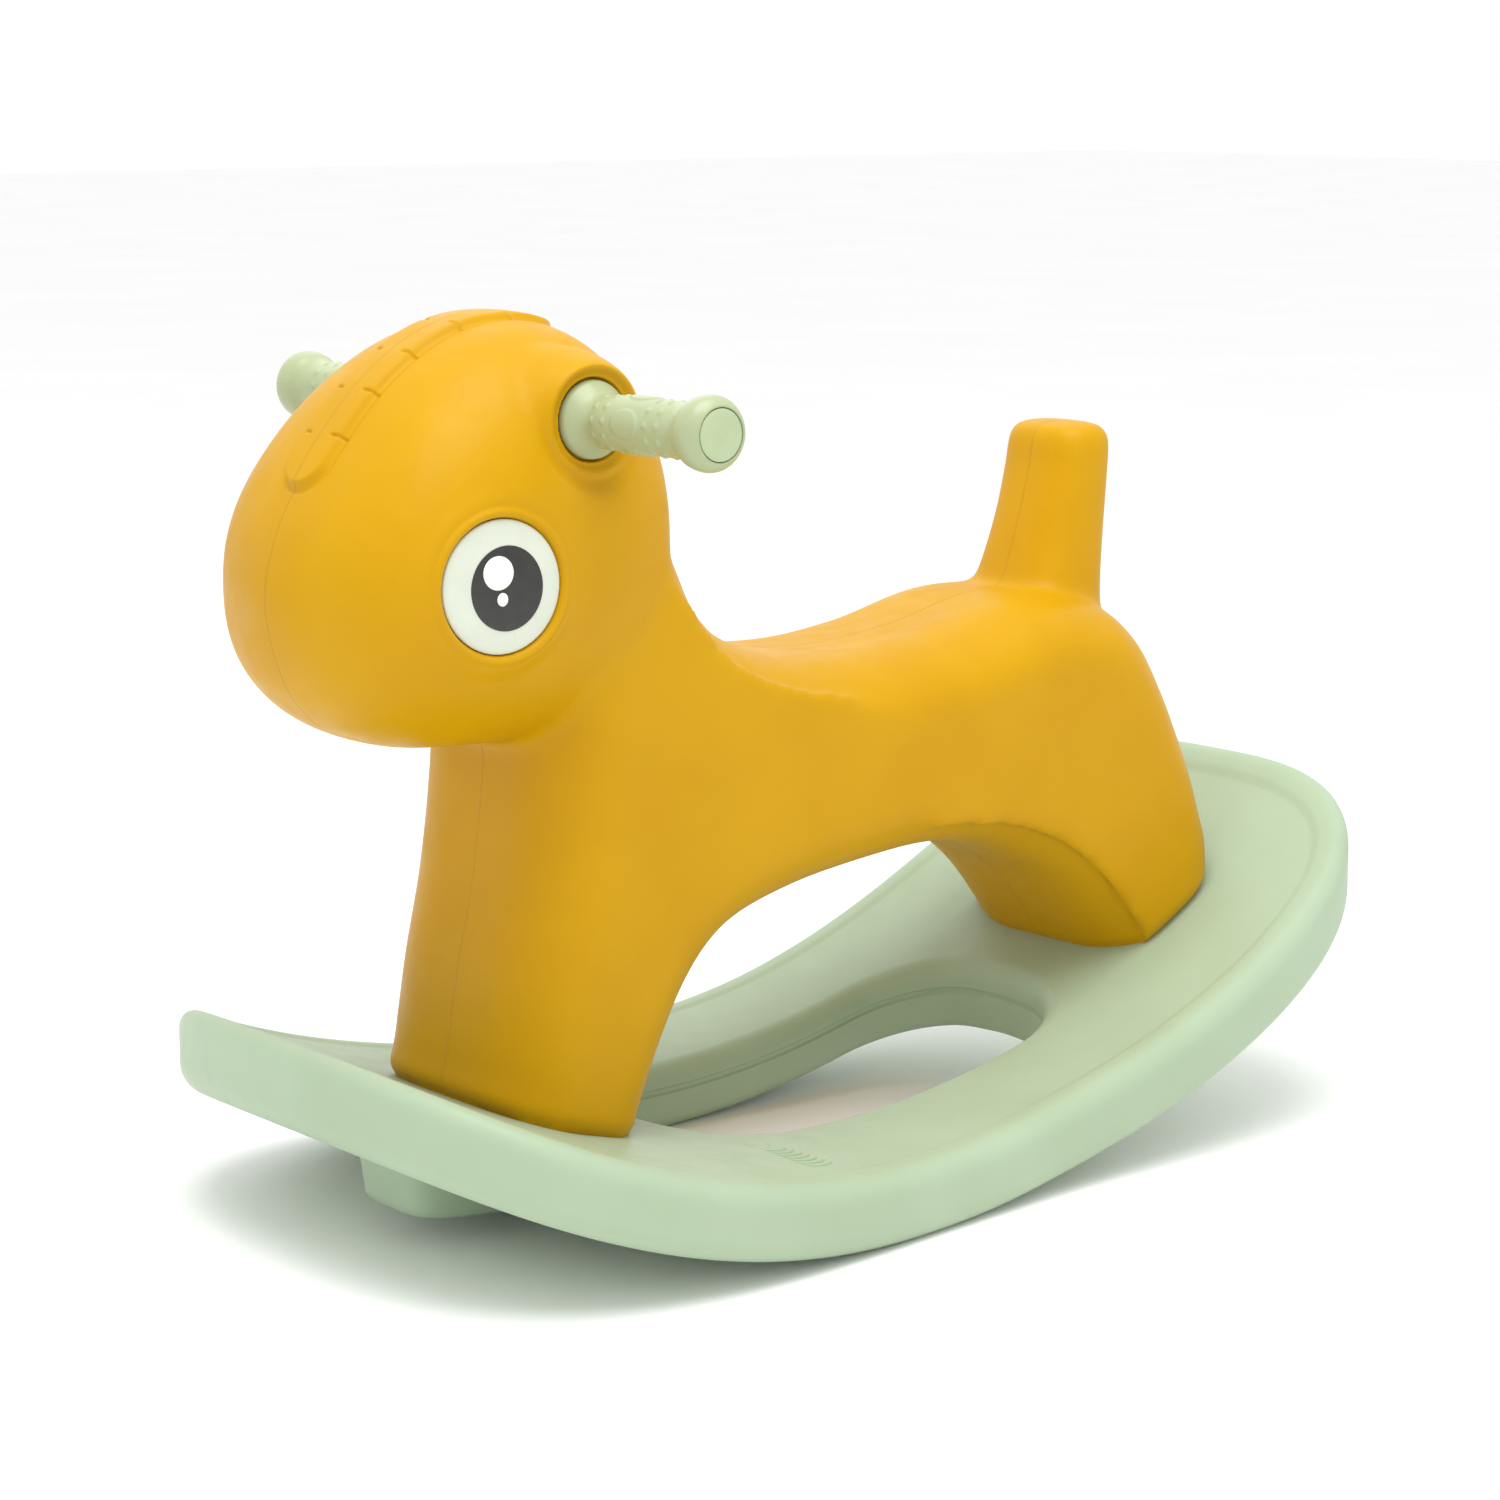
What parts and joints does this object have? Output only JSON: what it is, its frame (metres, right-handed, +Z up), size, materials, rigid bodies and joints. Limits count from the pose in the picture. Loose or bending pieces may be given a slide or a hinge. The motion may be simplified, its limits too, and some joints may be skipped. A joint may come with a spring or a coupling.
{
  "type": "rocking horse",
  "caption": "Toddler's moulded plastic rocking horse: a hollow horse with a curved saddle, tail and side handles on a curved rocker board with an opening and foot rests.",
  "frame": {"origin": "on the floor under the middle of the overall box", "axes": "+X is the way the horse faces, +Y is its left side, +Z is up"},
  "size_m": [0.635, 0.35, 0.447],
  "materials": {
    "body_plastic": "satin mustard-yellow polyethylene, blow-moulded",
    "base_plastic": "satin sage-green polyethylene, blow-moulded",
    "grip_plastic": "pale green injection-moulded plastic, soft gloss",
    "cap_plastic": "pale green injection-moulded plastic",
    "plug_plastic": "natural nylon",
    "tube_metal": "plain drawn tube",
    "eye_white": "smooth white plastic",
    "eye_black": "smooth black plastic",
    "fastener_steel": "zinc-plated steel",
    "insert_brass": "knurled brass"
  },
  "bodies": {
    "root": {"horse_body": "body_plastic", "rocker_base": "base_plastic", "handlebar_tube": "tube_metal", "left_grip": "grip_plastic", "left_grip_cap": "cap_plastic", "left_grip_screw": "fastener_steel", "left_grip_washer": "fastener_steel", "left_tube_plug": "plug_plastic", "left_eye_disc": "eye_white", "left_eye_pupil": "eye_black", "left_eye_highlights": "eye_white", "right_grip": "grip_plastic", "right_grip_cap": "cap_plastic", "right_grip_screw": "fastener_steel", "right_grip_washer": "fastener_steel", "right_tube_plug": "plug_plastic", "right_eye_disc": "eye_white", "right_eye_pupil": "eye_black", "right_eye_highlights": "eye_white", "front_leg_bolts": "fastener_steel", "front_leg_washers": "fastener_steel", "front_leg_inserts": "insert_brass", "rear_leg_bolts": "fastener_steel", "rear_leg_washers": "fastener_steel", "rear_leg_inserts": "insert_brass"}
  },
  "joints": []
}
